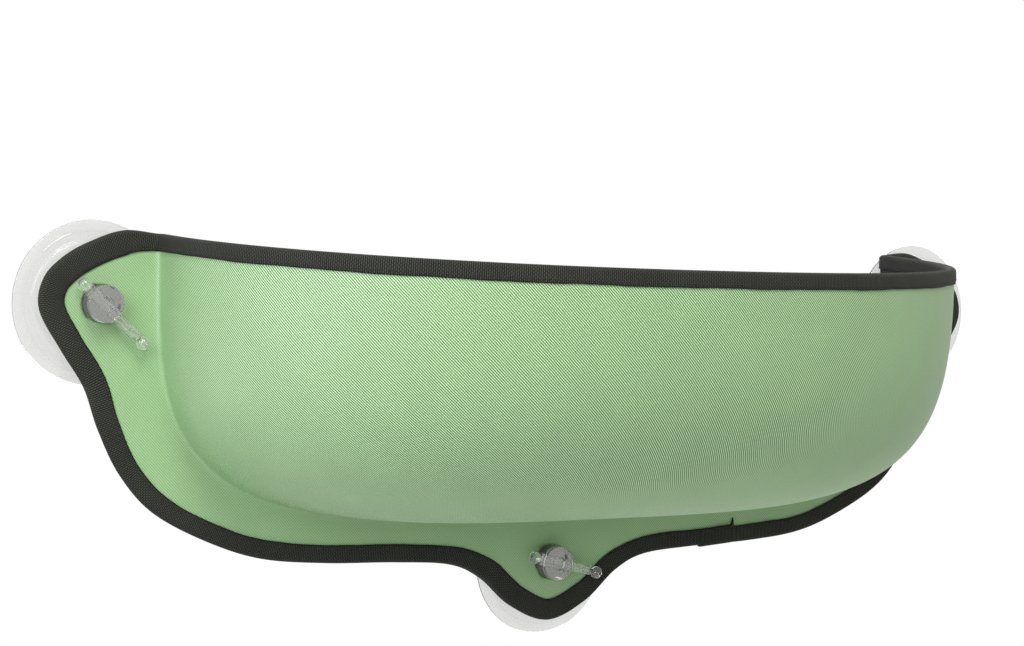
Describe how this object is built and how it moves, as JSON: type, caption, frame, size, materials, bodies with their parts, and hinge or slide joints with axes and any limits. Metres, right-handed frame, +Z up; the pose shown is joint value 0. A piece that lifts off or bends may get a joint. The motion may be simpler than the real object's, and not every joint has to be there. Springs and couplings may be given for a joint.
{
  "type": "suction cup cat bed",
  "caption": "Window cat bed: a moulded fabric-faced foam pocket with a bound edge, hung on the glass by clear suction cups locked with clear pins.",
  "frame": {"origin": "on the window glass, midway between the centres of the two upper suction cups", "axes": "+X along the window to the right as seen from the room, +Y out through the glass, so the room is at -Y, and +Z up"},
  "size_m": [0.6862, 0.2074, 0.2487],
  "materials": {
    "green_twill": "matte woven twill",
    "foam": "closed-cell foam",
    "dark_lining": "matte knit",
    "charcoal_tape": "ribbed tape",
    "thread": "twisted thread",
    "clear_vinyl": "clear, slightly milky",
    "clear_plastic": "clear, glossy"
  },
  "bodies": {
    "bed": {"outer_cover": "green_twill", "foam_core": "foam", "inner_lining": "dark_lining", "edge_binding": "charcoal_tape", "needle_thread": "thread", "bobbin_thread": "thread"},
    "left_cup": {"suction_cup_left": "clear_vinyl"},
    "left_pin": {"locking_pin_left": "clear_plastic"},
    "right_cup": {"suction_cup_right": "clear_vinyl"},
    "right_pin": {"locking_pin_right": "clear_plastic"},
    "bottom_cup": {"suction_cup_bottom": "clear_vinyl"},
    "bottom_pin": {"locking_pin_bottom": "clear_plastic"}
  },
  "joints": [
    {"name": "left_cup_turn", "type": "hinge", "parent": "bed", "child": "left_cup", "pos_m": [-0.2971, 0, 0], "axis": [0, -1, 0], "range_deg": [-100, 10]},
    {"name": "right_cup_turn", "type": "hinge", "parent": "bed", "child": "right_cup", "pos_m": [0.2971, 0, 0], "axis": [0, -1, 0], "range_deg": [-10, 100]},
    {"name": "bottom_cup_turn", "type": "hinge", "parent": "bed", "child": "bottom_cup", "pos_m": [0, 0, -0.1567], "axis": [0, -1, 0], "range_deg": [-35, 60]},
    {"name": "left_pin_slide", "type": "slide", "parent": "left_cup", "child": "left_pin", "axis": [-0.7314, 0, 0.682], "range_m": [0, 0.017]},
    {"name": "right_pin_slide", "type": "slide", "parent": "right_cup", "child": "right_pin", "axis": [0.7314, 0, 0.682], "range_m": [0, 0.017]},
    {"name": "bottom_pin_slide", "type": "slide", "parent": "bottom_cup", "child": "bottom_pin", "axis": [-0.9703, 0, 0.2419], "range_m": [0, 0.017]}
  ]
}
